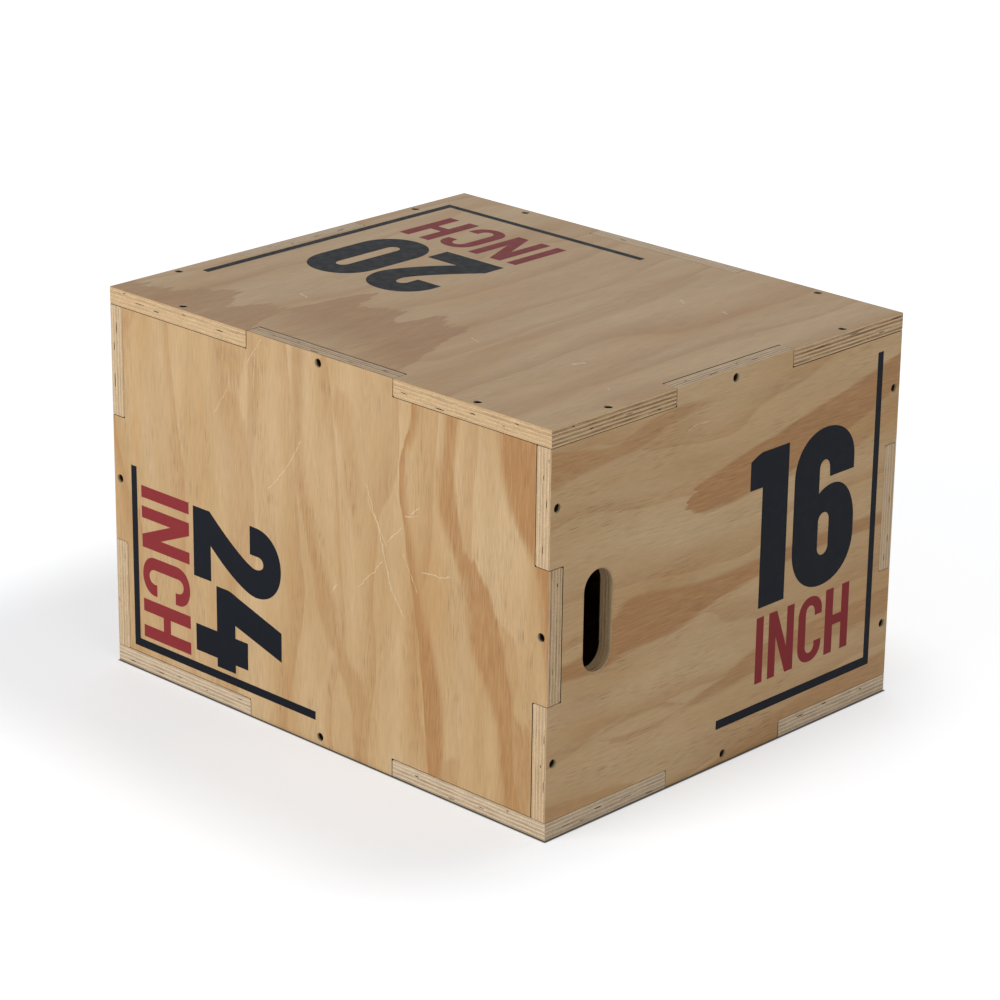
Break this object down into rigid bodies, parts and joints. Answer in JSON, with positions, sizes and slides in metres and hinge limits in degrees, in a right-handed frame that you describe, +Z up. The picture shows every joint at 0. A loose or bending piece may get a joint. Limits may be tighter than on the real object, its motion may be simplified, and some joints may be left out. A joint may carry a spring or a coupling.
{
  "type": "plyo box",
  "caption": "Plywood plyometric jump box with finger-jointed corners, recessed screws and oval hand slots, stood on different faces for different heights.",
  "frame": {"origin": "middle of the base, on the floor, as the box stands at its lowest height", "axes": "+X along the length, -Y out of the front, +Z up"},
  "size_m": [0.6096, 0.508, 0.4064],
  "materials": {
    "plywood": "sanded and sealed, satin",
    "screws": "dark phosphate steel",
    "ink_navy": "matt screen-printed ink",
    "ink_red": "matt screen-printed ink"
  },
  "bodies": {
    "root": {"top_panel": "plywood", "bottom_panel": "plywood", "front_panel": "plywood", "back_panel": "plywood", "left_panel": "plywood", "right_panel": "plywood", "top_front_screws": "screws", "top_back_screws": "screws", "top_left_screws": "screws", "top_right_screws": "screws", "bottom_front_screws": "screws", "bottom_back_screws": "screws", "bottom_left_screws": "screws", "bottom_right_screws": "screws", "front_left_screws": "screws", "front_right_screws": "screws", "back_left_screws": "screws", "back_right_screws": "screws"}
  },
  "joints": []
}
